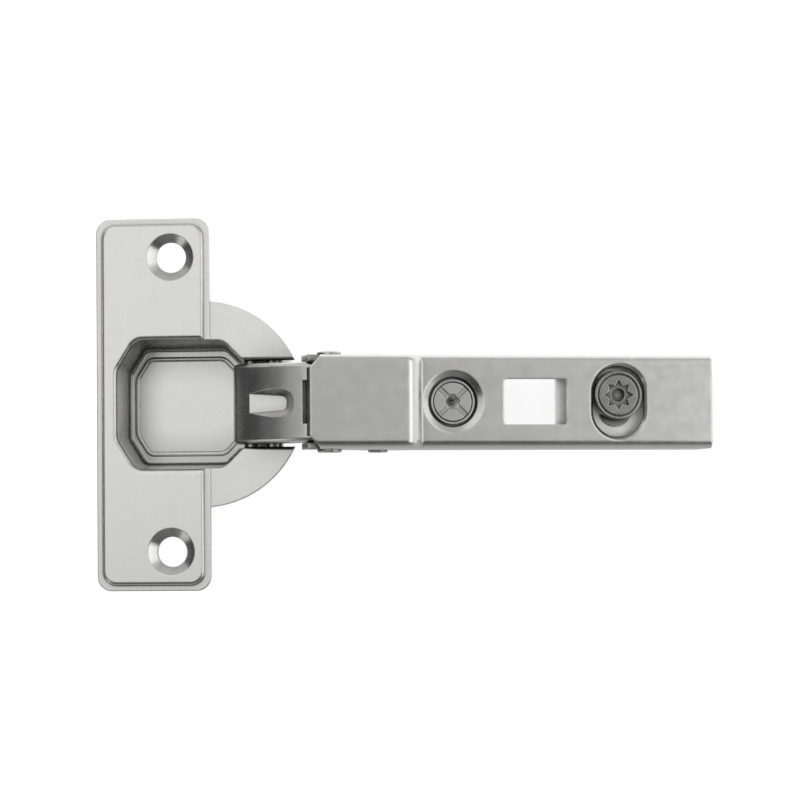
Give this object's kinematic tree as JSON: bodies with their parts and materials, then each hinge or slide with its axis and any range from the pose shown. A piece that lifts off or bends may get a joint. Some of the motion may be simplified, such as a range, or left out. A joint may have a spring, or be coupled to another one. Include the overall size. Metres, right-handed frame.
{
  "type": "concealed cabinet hinge",
  "caption": "Concealed cup hinge for a cabinet door: drawn cup with screw flange, double links and a pressed channel arm with overlay screw, depth cam and clip-on carrier.",
  "frame": {"origin": "centre of the cup on the door's inner face, which is the underside of the flange's lip", "axes": "+X to the door's edge and the arm, +Y along the line of the flange screws, +Z out of the door's inner face; the hinge is fully open, so the arm dips below the door face"},
  "size_m": [0.1077, 0.0658, 0.0369],
  "materials": {
    "nickel_cup": "satin nickel plate on pressed steel",
    "nickel_arm": "satin nickel plate on pressed steel",
    "nickel_link": "satin nickel plate on pressed steel",
    "rivet_steel": "bright riveted steel",
    "screw_steel": "nickel-plated steel",
    "cam_steel": "nickel-plated steel",
    "washer_steel": "nickel-plated steel",
    "nickel_carrier": "satin nickel plate on pressed steel",
    "spring_steel": "oiled spring wire"
  },
  "bodies": {
    "cup": {"hinge_cup": "nickel_cup", "outer_link_rivets": "rivet_steel", "cup_axle": "rivet_steel", "closing_spring": "spring_steel"},
    "outer_link": {"outer_link": "nickel_link"},
    "inner_link": {"inner_link": "nickel_link"},
    "arm": {"hinge_arm": "nickel_arm", "front_arm_axle": "rivet_steel", "rear_arm_axle": "rivet_steel"},
    "overlay_screw": {"overlay_screw": "screw_steel"},
    "carrier": {"clip_carrier": "nickel_carrier", "catch_pin": "rivet_steel", "catch_spring": "spring_steel"},
    "depth_cam": {"depth_cam": "cam_steel", "cam_washer": "washer_steel"},
    "catch_lever": {"catch_lever": "nickel_carrier"}
  },
  "joints": [
    {"name": "outer_link_pivot", "type": "hinge", "parent": "cup", "child": "outer_link", "pos_m": [0.00794, 0, -0.00389], "axis": [0, -1, 0], "range_deg": [0, 143.1], "deforming": ["closing_spring"]},
    {"name": "arm_pivot", "type": "hinge", "parent": "outer_link", "child": "arm", "pos_m": [0.02321, 0, 0.004], "axis": [0, -1, 0], "range_deg": [-33.2, 0]},
    {"name": "inner_link_pivot", "type": "hinge", "parent": "cup", "child": "inner_link", "pos_m": [0.01175, 0, -0.0039], "axis": [0, -1, 0], "range_deg": [0, 143.4]},
    {"name": "overlay_screw_turn", "type": "hinge", "parent": "arm", "child": "overlay_screw", "pos_m": [0.04369, 0, -0.00346], "axis": [0.342, 0, 0.9397], "range_deg": [-180, 180]},
    {"name": "depth_slide", "type": "slide", "parent": "arm", "child": "carrier", "axis": [0.9397, 0, -0.342], "range_m": [-0.00227, 0.00227]},
    {"name": "depth_cam_turn", "type": "hinge", "parent": "carrier", "child": "depth_cam", "pos_m": [0.07189, -0.0013, -0.01372], "axis": [0.342, 0, 0.9397], "range_deg": [-60, 60]},
    {"name": "catch_lever_pivot", "type": "hinge", "parent": "carrier", "child": "catch_lever", "pos_m": [0.07848, 0, -0.02133], "axis": [0, -1, 0], "range_deg": [0, 12], "stiffness_Nm_per_rad": 0.02, "springref_deg": -5.73, "deforming": ["catch_spring"]}
  ],
  "couplings": [
    {"joint": "arm_pivot", "follows": "outer_link_pivot", "ratio": -0.2314},
    {"joint": "inner_link_pivot", "follows": "outer_link_pivot", "ratio": 1.0015},
    {"joint": "depth_cam_turn", "follows": "depth_slide", "rad_per_m": 459.77}
  ]
}
